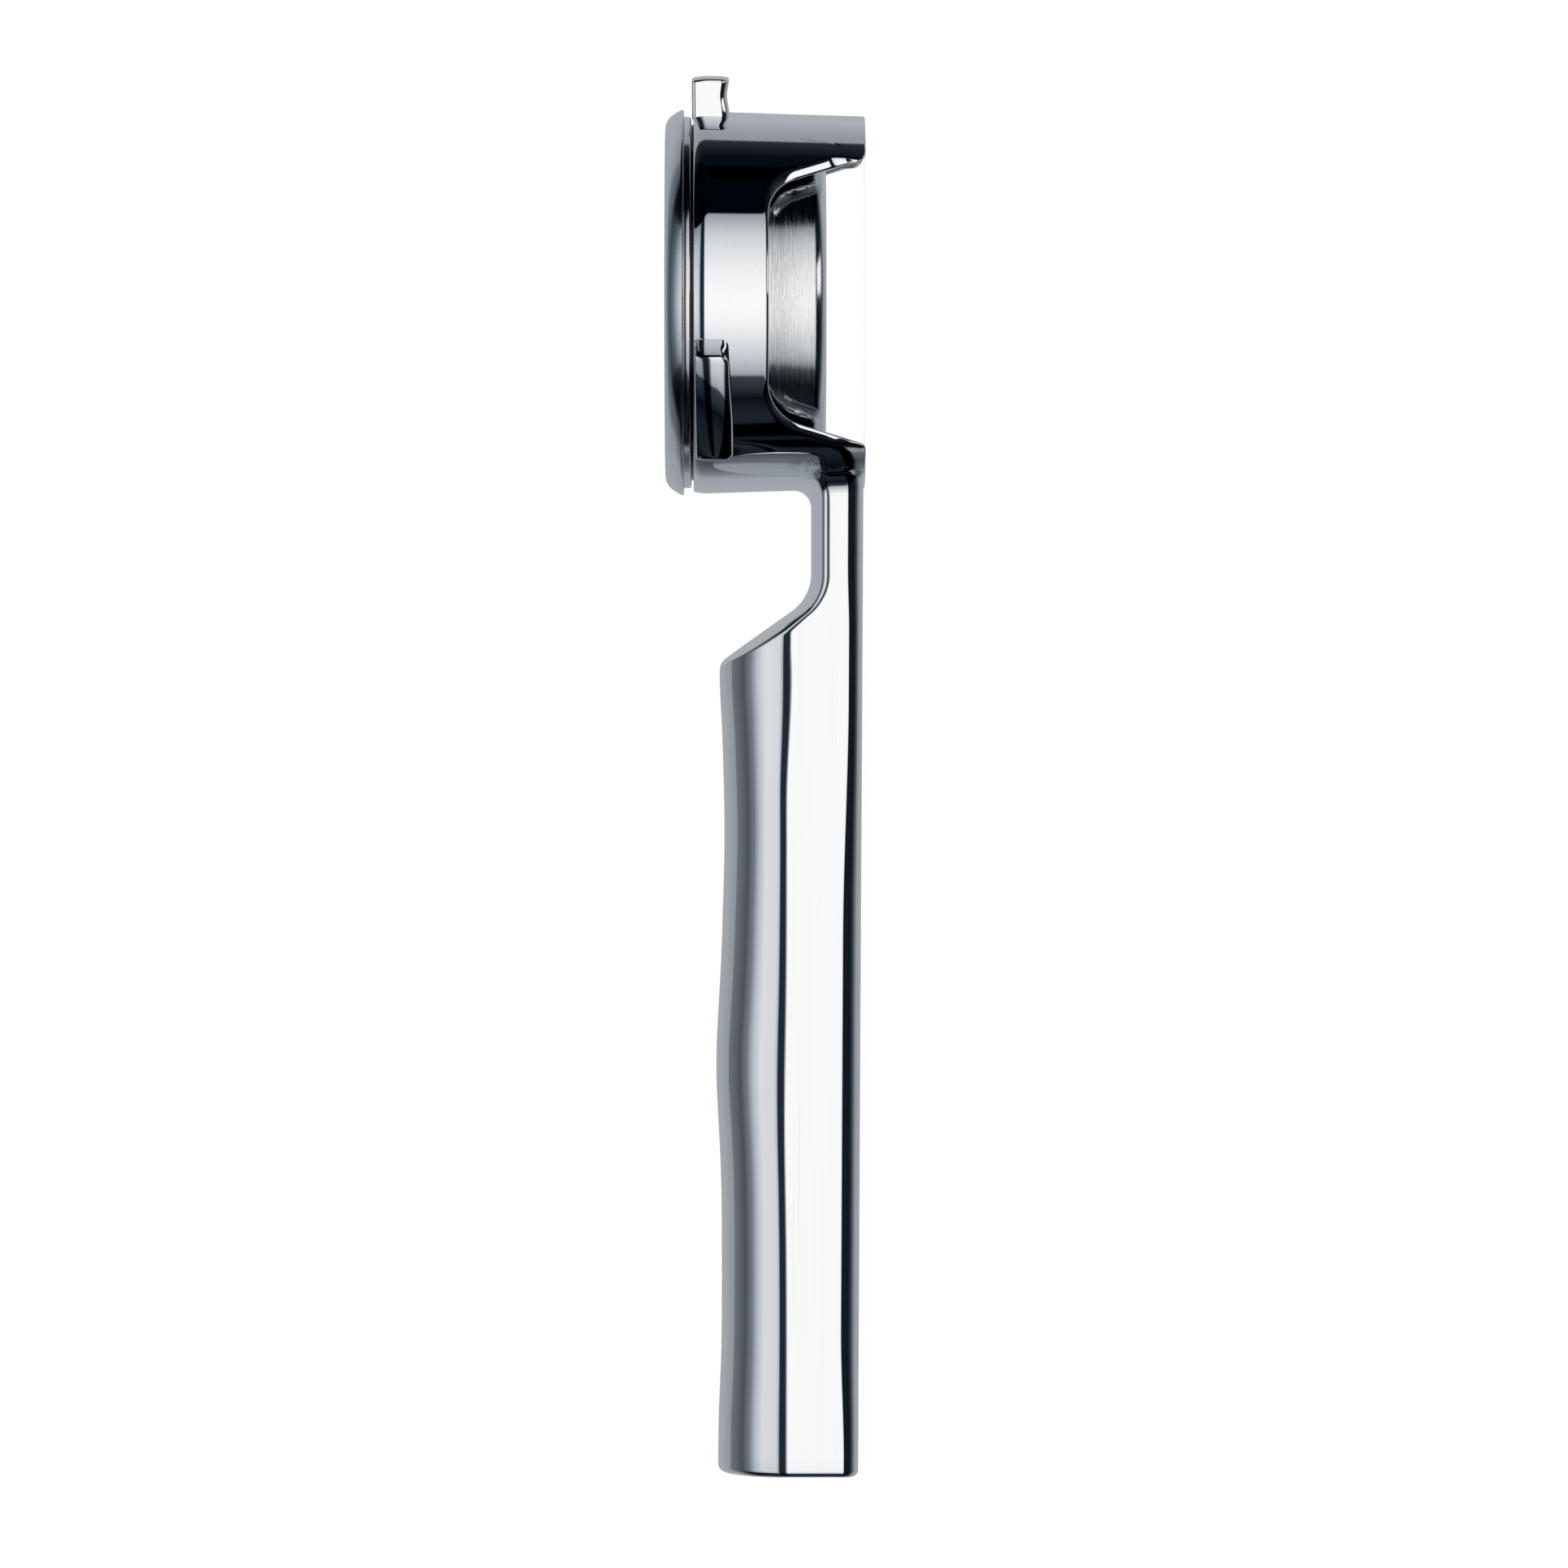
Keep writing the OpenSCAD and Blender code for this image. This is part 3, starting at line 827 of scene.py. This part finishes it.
class MESH_OT_bayonet_lugs(bpy.types.Operator):
    """Three bayonet lugs with parallel sides and ramped undersides"""

    bl_idname = "mesh.portafilter_bayonet_lugs"
    bl_label = "Bayonet Lugs"

    side_angle = 61
    tilt = 0.011

    def execute(self, context):
        s = context.scene.portafilter_holder
        bm = bmesh.new()
        places = ((self.side_angle, s.lug_w), (180, s.rear_lug_w), (360 - self.side_angle, s.lug_w))
        for angle, width in places:
            lug = self.make_lug(s, width / 2)
            turn = Matrix.Rotation(math.radians(angle), 3, "Z")
            bmesh.ops.rotate(lug, verts=lug.verts, cent=(0, 0, 0), matrix=turn)
            for v in lug.verts:
                v.co.z -= self.tilt * v.co.x
            merge_into(bm, lug)
        make_piece("bayonet_lugs", bm, "holder", mirror_steel(), ["holder_body"], 50)
        return {"FINISHED"}

    def make_lug(self, s, half):
        """One lug along +X: a rounded block, its rim bevelled, then curved to the ring and hollowed below."""
        inner = s.top_r - 1.4 * MM
        top = HOLDER_HI.z - 0.12 * MM
        low = top - s.lug_t
        low_r, top_r = 1.5 * MM, 0.5 * MM
        outline = arc_points(-half + low_r, low + low_r, low_r, 180, 270, 7)
        outline += arc_points(half - low_r, low + low_r, low_r, 270, 360, 7)
        outline += arc_points(half - top_r, top - top_r, top_r, 0, 90, 4)
        outline += arc_points(-half + top_r, top - top_r, top_r, 90, 180, 4)
        lug = bmesh.new()
        back = lug.faces.new([lug.verts.new((inner, y, z)) for y, z in outline])
        grown = bmesh.ops.extrude_face_region(lug, geom=[back], use_keep_orig=True)
        front = [g for g in grown["geom"] if isinstance(g, bmesh.types.BMFace)]
        bmesh.ops.translate(lug, verts=raised_verts(grown), vec=(s.lug_r - inner, 0, 0))
        bmesh.ops.recalc_face_normals(lug, faces=lug.faces)
        bmesh.ops.bevel(
            lug, geom=list(front[0].edges), offset=0.42 * MM, offset_type="OFFSET", segments=5, profile=0.5,
            affect="EDGES", clamp_overlap=True, material=-1,
        )
        cuts = ((16, -half, half, Vector((0, 1, 0))), (10, low, top, Vector((0, 0, 1))),
                (8, inner, s.lug_r, Vector((1, 0, 0))))
        for count, start, end, normal in cuts:
            for i in range(1, count):
                bmesh.ops.bisect_plane(
                    lug, geom=lug.verts[:] + lug.edges[:] + lug.faces[:], dist=0.0005 * MM,
                    plane_co=normal * (start + (end - start) * i / count), plane_no=normal,
                )
        for v in lug.verts:
            self.shape(s, v, half, inner, top)
        return lug

    @staticmethod
    def shape(s, v, half, inner, top):
        """Moves a vertex of the block to the ring's curve, the soft edges and the hollowed underside."""
        along = v.co.y / half
        down = (top - v.co.z) / s.lug_t
        out = (v.co.x - inner) / (s.lug_r - inner)
        curve = s.lug_r - math.sqrt(s.lug_r ** 2 - v.co.y ** 2)
        soft_top = 0.35 * MM * max(1 - down / 0.45, 0.0) ** 2
        soft_low = 0.22 * MM * max((down - 0.6) / 0.4, 0.0) ** 2
        v.co.x -= (curve + soft_top + soft_low) * out
        hollow = 0.42 * MM * math.sin(math.pi * min(max(1.15 * out - 0.15, 0.0), 1.0)) ** 2
        ramp = s.lug_ramp * smooth_step(-0.35, 1.0, along)
        v.co.z += max(down - 0.25, 0.0) / 0.75 * (ramp + hollow)


class MESH_OT_neck_and_grip(bpy.types.Operator):
    """Neck and hollow grip in one polished skin, from the ring to the open end"""

    bl_idname = "mesh.portafilter_neck_and_grip"
    bl_label = "Neck and Grip"

    flare_steps = 14
    blend_steps = 8
    blend_to = 12.5 * MM
    fine_to = 74 * MM
    fine_step = 0.42 * MM
    wide_step = 1.5 * MM

    def execute(self, context):
        ring = context.scene.portafilter_holder
        stations = self.stations(context.scene.portafilter_grip)
        slant = (ring.top_r - ring.base_r) / HOLDER_HI.z

        def x_at(i, y, z):
            x, straight = stations[i][:2]
            r = ring.base_r + slant * z + x - NECK_X
            return (1 - straight) * math.sqrt(r * r - y * y) + straight * x

        bm = mirrored_skin([half for x, straight, half in stations], x_at)
        nodes = ["holder_body", "grip_shell"]
        make_piece("neck_and_grip", bm, "holder", mirror_steel(), nodes, 38)
        return {"FINISHED"}

    def stations(self, s):
        """Sections along the neck and grip, close together where the shape turns.

        Each has its x, a share from 0 where it follows the ring to 1 where it is straight, and its half."""
        out = []

        def add(x, straight=1.0, **grown):
            out.append((x, straight, grip_section(s, x, **grown)))

        hidden = NECK_X - 1.2 * MM
        out.append((hidden, 0.0, grip_section(s, NECK_X - 0.1 * MM, flare=s.flare)))
        for c, d in arc_points(0, 0, s.flare, 90, 0, self.flare_steps):
            add(NECK_X + s.flare - d - 0.003 * MM, 0.0, flare=s.flare - c)
        for i in range(1, self.blend_steps + 1):
            t = i / self.blend_steps
            add(NECK_X + s.flare + (self.blend_to - s.flare) * t, smooth_step(0, 1, t))
        x = NECK_X + self.blend_to
        end = GRIP_HI.x - s.end_edge
        while x < end - 2 * self.wide_step:
            x += self.fine_step if x < self.fine_to else self.wide_step
            add(x)
        for c, d in arc_points(0, 0, s.end_edge, 0, 90, 8):
            add(end + d, inset=s.end_edge - c)
        add(GRIP_HI.x, inset=s.wall - 0.15 * MM)
        for depth in (0.12 * MM, 1.5 * MM, 6 * MM):
            add(GRIP_HI.x - depth, inset=s.wall)
        return out


class MESH_OT_end_cap(bpy.types.Operator):
    """Plate pressed into the open end of the grip"""

    bl_idname = "mesh.portafilter_end_cap"
    bl_label = "End Cap"

    def execute(self, context):
        s = context.scene.portafilter_grip
        edge, gap = 0.35 * MM, 0.05 * MM
        rows = [(0.0, CAP_LO.x)]
        rows += [(edge - c, CAP_HI.x - edge + d) for c, d in arc_points(0, 0, edge, 0, 90, 5)]
        rows += [(3 * MM, CAP_HI.x + 0.02 * MM), (6 * MM, CAP_HI.x + 0.03 * MM)]
        halves = [grip_section(s, x, inset=s.wall + gap + inset) for inset, x in rows]
        bm = mirrored_skin(halves, lambda i, y, z: rows[i][1])
        make_piece("end_plate", bm, "holder", mirror_steel(), ["end_cap"])
        return {"FINISHED"}


class MESH_OT_seat_ring(bpy.types.Operator):
    """Seat ring with its lip and spring groove"""

    bl_idname = "mesh.portafilter_seat_ring"
    bl_label = "Seat Ring"

    def execute(self, context):
        holder, basket = context.scene.portafilter_holder, context.scene.portafilter_basket
        bore = basket.bore_r + basket.wall + 0.45 * MM
        seat = holder.seat_r - 0.01 * MM
        low, top = SEAT_LO.z, SEAT_HI.z
        lip_r, lip_z = SEAT_HI.x, HOLDER_HI.z + 0.45 * MM
        under_r, over_r = 0.25 * MM, 0.08 * MM
        groove_r = SPRING_HI.x + 0.3 * MM
        groove_z = (SPRING_LO.z + SPRING_HI.z) / 2
        groove_h = basket.wire_r + 0.3 * MM
        points = [(bore, low), (seat, low), (seat, lip_z), (lip_r - under_r, lip_z)]
        points += arc_points(lip_r - under_r, lip_z + under_r, under_r, -60, 0, 3)
        points += [(lip_r, (lip_z + top) / 2)]
        points += arc_points(lip_r - over_r, top - over_r, over_r, 0, 90, 4)
        points += [(bore, top - 0.01 * MM)]
        points += [(bore, groove_z + groove_h), (groove_r, groove_z + groove_h)]
        points += [(groove_r, groove_z - groove_h), (bore, groove_z - groove_h)]
        bm = bmesh.new()
        spin_profile(bm, points, 240)
        make_piece("seat_ring_lip", bm, "holder", turned_steel(), ["seat_ring"], 35)
        return {"FINISHED"}


class MESH_OT_basket_spring(bpy.types.Operator):
    """Wire spring with rounded ends in the seat ring's groove"""

    bl_idname = "mesh.portafilter_basket_spring"
    bl_label = "Basket Spring"

    def execute(self, context):
        wire = context.scene.portafilter_basket.wire_r
        z = (SPRING_LO.z + SPRING_HI.z) / 2
        gap = math.radians(30)
        bm = bmesh.new()
        bmesh.ops.create_circle(bm, cap_ends=False, radius=wire, segments=20)
        upright = Matrix.Translation((SPRING_HI.y - wire, 0, z)) @ Matrix.Rotation(math.radians(90), 4, "X")
        bmesh.ops.transform(bm, matrix=Matrix.Rotation(gap / 2, 4, "Z") @ upright, verts=bm.verts)
        bmesh.ops.spin(
            bm, geom=list(bm.verts) + list(bm.edges), cent=(0, 0, 0), axis=(0, 0, 1),
            angle=math.tau - gap, steps=200,
        )
        fill_ends(bm)
        for face in [f for f in bm.faces if len(f.verts) > 4]:
            bmesh.ops.inset_region(bm, faces=[face], thickness=wire * 0.35, depth=wire * 0.3)
        make_piece("wire_spring", bm, "spring", spring_wire(), ["basket_spring"])
        return {"FINISHED"}


class MESH_OT_filter_basket(bpy.types.Operator):
    """Filter basket: brushed cup with a pierced floor, and its rolled rim"""

    bl_idname = "mesh.portafilter_filter_basket"
    bl_label = "Filter Basket"

    steps = 240

    def execute(self, context):
        s = context.scene.portafilter_basket
        self.add_cup(s)
        self.add_rim(s)
        return {"FINISHED"}

    def add_cup(self, s):
        """Wall, bottom edge and pierced floor as one closed shell."""
        outer = s.bore_r + s.wall
        low, top = BASKET_LO.z, SEAT_HI.z + 0.6 * MM
        inside = low + s.wall
        floor_r = s.bore_r - 2.0 * MM
        out_r, in_r = 2.2 * MM, 1.4 * MM
        down = [(floor_r, low)] + arc_points(outer - out_r, low + out_r, out_r, -90, 0, 10)
        down += [(outer, low + (top - low) * t) for t in (0.3, 0.5, 0.7, 0.85, 1.0)]
        back = [(s.bore_r, top - (top - low) * t) for t in (0.0, 0.2, 0.4, 0.6)]
        back += arc_points(s.bore_r - in_r, inside + in_r, in_r, 0, -90, 7)
        back += [(floor_r, inside)]
        bm = bmesh.new()
        spin_profile(bm, down + back, self.steps, closed=False)
        merge_into(bm, self.make_floor(s, floor_r, low, inside))
        bmesh.ops.remove_doubles(bm, verts=bm.verts, dist=0.004 * MM)
        make_piece("basket_cup", bm, "basket", brushed_steel(), ["filter_basket"])

    def make_floor(self, s, floor_r, low, inside):
        """The floor between two levels, with a hexagonal field of round holes through it."""
        plate = bmesh.new()
        bmesh.ops.create_circle(plate, cap_ends=False, radius=floor_r, segments=self.steps)
        field = floor_r - 1.6 * MM
        count = int(field / s.hole_pitch) + 3
        for row in range(-count, count + 1):
            y = row * s.hole_pitch * math.sqrt(3) / 2
            for column in range(-count, count):
                x = (column + 0.5 * (row % 2)) * s.hole_pitch
                if math.hypot(x, y) < field:
                    spot = Matrix.Translation((x, y, 0))
                    bmesh.ops.create_circle(plate, cap_ends=False, radius=s.hole_r, segments=10, matrix=spot)
        bmesh.ops.triangle_fill(plate, use_beauty=True, use_dissolve=False, edges=list(plate.edges))
        bmesh.ops.translate(plate, verts=plate.verts, vec=(0, 0, low))
        grown = bmesh.ops.extrude_face_region(plate, geom=list(plate.faces), use_keep_orig=True)
        bmesh.ops.translate(plate, verts=raised_verts(grown), vec=(0, 0, inside - low))
        rim_r = floor_r - 0.05 * MM
        outer_walls = [
            f for f in plate.faces
            if abs(f.normal.z) < 0.5 and all(math.hypot(v.co.x, v.co.y) > rim_r for v in f.verts)
        ]
        bmesh.ops.delete(plate, geom=outer_walls, context="FACES_ONLY")
        return plate

    def add_rim(self, s):
        """Rolled rim: widest at its crisp lower edge, and rounded over in two arcs to its flat top."""
        top = BASKET_HI.z
        low = top - s.rim_t + 0.02 * MM
        small, wide, close = 0.1 * MM, 7.0 * MM, 3.0 * MM
        low_turn, high_turn = 22, 42
        low_cos, high_cos = (math.cos(math.radians(turn)) for turn in (low_turn, high_turn))
        small_x, small_z = s.rim_r - small, low + small
        close_x = small_x + small * low_cos - wide * (low_cos - high_cos) - close * high_cos
        close_z = top - close
        wide_x = close_x - (wide - close) * high_cos
        wide_z = close_z - (wide - close) * math.sin(math.radians(high_turn))
        roll_r = 0.85 * MM
        points = [(s.bore_r + 0.2 * MM, low), (small_x, low)]
        points += arc_points(small_x, small_z, small, -80, low_turn, 4)
        points += arc_points(wide_x, wide_z, wide, low_turn, high_turn, 8)
        points += arc_points(close_x, close_z, close, high_turn, 90, 9)[1:]
        points += [(s.bore_r + 1.6 * MM, top - 0.03 * MM)]
        points += arc_points(s.bore_r + roll_r, top - roll_r, roll_r, 85, 180, 7)
        points += [(s.bore_r, top - s.rim_t + 0.5 * MM)]
        bm = bmesh.new()
        spin_profile(bm, points, self.steps)
        make_piece("basket_rim", bm, "basket", rim_steel(), ["filter_basket"], 35)


class OBJECT_OT_fasteners(bpy.types.Operator):
    """Finish of the rod, the bulkhead, the washers and the nut inside the grip"""

    bl_idname = "object.portafilter_fasteners"
    bl_label = "Inner Fasteners"

    def execute(self, context):
        for name in ("tie_rod", "grip_bulkhead", "flat_washer", "spring_washer", "rod_nut"):
            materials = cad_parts[name].data.materials
            materials.clear()
            materials.append(machined_steel())
        return {"FINISHED"}


# ---- stage ---------------------------------------------------------------------------------------


def shown_light(level):
    """Linear light of a brightness from 0 to 1 as it shows on a screen."""
    return level / 12.92 if level < 0.04 else ((level + 0.055) / 1.055) ** 2.4


def cool_light(level):
    """Light in red, green and blue for a shown brightness; the darker half of the range is bluer."""
    cool = 0.027 * min((1.0 - level) / 0.25, 1.0)
    return [shown_light(max(level + shift * cool, 0.0)) for shift in (-1.0, 0.0, 0.9)]


class SCENE_OT_stage(bpy.types.Operator):
    """Pale floor, studio panels and camera"""

    bl_idname = "scene.portafilter_stage"
    bl_label = "Stage"

    strength = 1.8
    # Angle round the X axis (0 is the front, 90 is up) and how bright the steel shows there
    lift_bands = (
        (-180, 0.63), (-136, 0.635), (-101, 0.59), (-74, 0.27), (-60, 0.14), (-51, 0.085), (-30, 0.11),
        (-15.5, 0.07), (-13, 0.90), (-8, 0.98), (2.2, 0.985), (3.3, 0.30), (5.5, 0.16), (14, 0.16),
        (16, 0.74), (21, 0.85), (44, 0.87), (56, 0.757), (69, 0.48), (83, 0.318), (100, 0.40), (110, 0.44),
        (113, 0.58), (140, 0.635), (180, 0.63),
    )
    # Front panels by angle towards +X, and the rear wall by angle towards +X
    front_bands = (
        (-90, 0.03), (-53.2, 0.02), (-52.4, 0.60), (-47, 0.70), (-40, 0.81), (-31, 0.875), (-22, 0.925),
        (-10, 0.965), (-3, 0.98), (3, 0.98), (10, 0.965), (19, 0.91), (31, 0.81), (38, 0.72), (43, 0.62),
        (44.5, 0.24), (50, 0.20), (58, 0.06), (70, 0.14), (80, 0.15), (90, 0.2),
    )
    back_bands = (
        (-90, 0.05), (-80, 0.05), (-68, 0.16), (-65, 0.20), (-63.5, 0.59), (-59, 0.596), (-34, 0.686),
        (0, 0.64), (27, 0.647), (44, 0.635), (55, 0.435), (65, 0.29), (72, 0.40), (74, 0.557), (77, 0.557),
        (79, 0.10), (82, 0.055), (86, 0.06), (90, 0.176),
    )

    def execute(self, context):
        self.add_floor(context)
        self.add_studio(context)
        self.add_camera(context)
        return {"FINISHED"}

    @staticmethod
    def add_floor(context):
        """A wide pale floor that the mirror finish doesn't pick up."""
        m = bpy.data.materials.new("pale_floor")
        m.use_nodes = True
        looks = {
            "Base Color": (*context.scene.portafilter_finish.floor, 1.0), "Roughness": 0.9,
            "Specular IOR Level": 0.0, "Emission Color": (1, 1, 1, 1), "Emission Strength": 0.82,
        }
        for key, value in looks.items():
            m.node_tree.nodes["Principled BSDF"].inputs[key].default_value = value
        bm = bmesh.new()
        bmesh.ops.create_grid(bm, x_segments=8, y_segments=8, size=3.0)
        bmesh.ops.translate(bm, verts=bm.verts, vec=(0.09, 0, -0.02 * MM))
        floor = make_object("floor", bm, m)
        floor.visible_glossy = False

    def add_studio(self, context):
        """Light panels and dark flags round the object, by direction; the backdrop itself is white."""
        world = bpy.data.worlds.new("studio")
        context.scene.world = world
        world.use_nodes = True
        tree = world.node_tree
        tree.nodes.clear()
        direction = add_node(tree, "ShaderNodeTexCoord").outputs["Generated"]
        x, y, z = add_node(tree, "ShaderNodeSeparateXYZ", {0: direction}).outputs
        lift = math_node(tree, "ARCTAN2", z, y)
        least_x = math_node(tree, "MAXIMUM", x, -1.0)
        swing = math_node(tree, "ARCSINE", math_node(tree, "MINIMUM", least_x, 1.0))
        slanted = math_node(tree, "MULTIPLY", swing, math_node(tree, "MULTIPLY_ADD", z, 0.6, 1.0))
        steel_tint = (0.98, 1.0, 1.03)
        panel_gains = [1 / (0.825 * self.strength * c) for c in steel_tint]
        panels = self.ramp(tree, lift, self.lift_bands, 360, panel_gains)
        front = self.ramp(tree, slanted, self.front_bands, 180, [1 / c for c in cool_light(0.98)])
        # The rear wall is stored at half its light, because a ramp's colours end at 1
        half_back = self.ramp(tree, swing, self.back_bands, 180, [0.5 / c for c in cool_light(0.635)])
        halves = {0: half_back, 1: half_back}
        back = add_node(tree, "ShaderNodeVectorMath", halves, operation="ADD").outputs[0]
        facing = math_node(tree, "MULTIPLY_ADD", y, 12.0, 0.5, clamp=True)
        sides = mix_colours(tree, facing, back, front)
        both = mix_colours(tree, 1.0, panels, sides, "MULTIPLY")
        low_places = self.within(tree, swing, -26, -4, 2), self.within(tree, lift, -66, -24, 3)
        low_level = shown_light(0.97) / (0.80 * self.strength)
        low_light = (low_level, low_level, low_level, 1.0)
        lit = mix_colours(tree, math_node(tree, "MULTIPLY", *low_places), both, low_light)
        studio = add_node(tree, "ShaderNodeBackground", {"Color": lit, "Strength": self.strength})
        backdrop = add_node(tree, "ShaderNodeBackground", {"Color": (1, 1, 1, 1)})
        seen = add_node(tree, "ShaderNodeLightPath").outputs["Is Camera Ray"]
        pick = add_node(tree, "ShaderNodeMixShader", {0: seen, 1: studio.outputs[0], 2: backdrop.outputs[0]})
        add_node(tree, "ShaderNodeOutputWorld", {"Surface": pick.outputs[0]})

    @staticmethod
    def within(tree, angle, low, high, soft):
        """A mask that is 1 between two angles and falls to 0 over a soft edge, all in degrees."""
        edge = math.radians(soft)
        above = math_node(tree, "MULTIPLY_ADD", angle, 1 / edge, -math.radians(low) / edge, clamp=True)
        below = math_node(tree, "MULTIPLY_ADD", angle, -1 / edge, math.radians(high) / edge, clamp=True)
        return math_node(tree, "MULTIPLY", above, below)

    @staticmethod
    def ramp(tree, angle, bands, span, gains):
        """A colour ramp over an angle, from bands of (degrees, brightness that shows in the steel)."""
        at = math_node(tree, "MULTIPLY_ADD", angle, 1 / math.radians(span), 0.5)
        node = add_node(tree, "ShaderNodeValToRGB", {0: at})
        stops = node.color_ramp.elements
        stops.remove(stops[-1])
        for k, (degrees, level) in enumerate(bands):
            place = min(degrees / span + 0.5, 1.0)
            stop = stops[0] if k == 0 else stops.new(place)
            stop.position = place
            stop.color = (*(min(light * gain, 1.0) for light, gain in zip(cool_light(level), gains)), 1.0)
        return node.outputs[0]

    @staticmethod
    def add_camera(context):
        """Camera square to the side of the holder, standing the grip upright in the frame."""
        distance, shown = 1.8, 0.288
        target, eye = Vector((0.0883, 0.0, 0.01475)), Vector((0.016, distance, 0.024))
        data = bpy.data.cameras.new("camera")
        data.sensor_width = 36.0
        data.lens = data.sensor_width * distance / shown
        data.clip_end = 20.0
        camera = bpy.data.objects.new("camera", data)
        context.scene.collection.objects.link(camera)
        back = (eye - target).normalized()
        right = Vector((-1.0, 0.0, 0.0)).cross(back).normalized()
        turn = Matrix((right, back.cross(right), back)).transposed().to_4x4()
        camera.matrix_world = Matrix.Translation(eye) @ turn
        context.scene.camera = camera
        context.scene.view_settings.view_transform = "Standard"


class VIEW3D_PT_portafilter(bpy.types.Panel):
    """Sizes, finishes and pieces of the portafilter"""

    bl_idname = "VIEW3D_PT_portafilter"
    bl_label = "Portafilter"
    bl_space_type = "VIEW_3D"
    bl_region_type = "UI"
    bl_category = "Portafilter"

    def draw(self, context):
        for name in GROUPS:
            group = getattr(context.scene, name)
            box = self.layout.box()
            for key in group.bl_rna.properties.keys():
                if key not in ("rna_type", "name"):
                    box.prop(group, key)
        for operator in OPERATORS:
            self.layout.operator(operator.bl_idname)


OPERATORS = (
    MESH_OT_holder_ring, MESH_OT_bayonet_lugs, MESH_OT_neck_and_grip, MESH_OT_end_cap, MESH_OT_seat_ring,
    MESH_OT_basket_spring, MESH_OT_filter_basket, OBJECT_OT_fasteners, SCENE_OT_stage,
)
GROUPS = {
    "portafilter_holder": HolderSizes,
    "portafilter_basket": BasketSizes,
    "portafilter_grip": GripSizes,
    "portafilter_finish": FinishSettings,
}


def register():
    for cls in (*GROUPS.values(), *OPERATORS, VIEW3D_PT_portafilter):
        bpy.utils.register_class(cls)
    for key, cls in GROUPS.items():
        setattr(bpy.types.Scene, key, bpy.props.PointerProperty(type=cls))


def unregister():
    for key in GROUPS:
        delattr(bpy.types.Scene, key)
    for cls in (VIEW3D_PT_portafilter, *reversed(OPERATORS), *reversed(list(GROUPS.values()))):
        bpy.utils.unregister_class(cls)


def main():
    register()
    for operator in OPERATORS:
        area, name = operator.bl_idname.split(".")
        getattr(getattr(bpy.ops, area), name)()


if __name__ == "__main__":
    main()
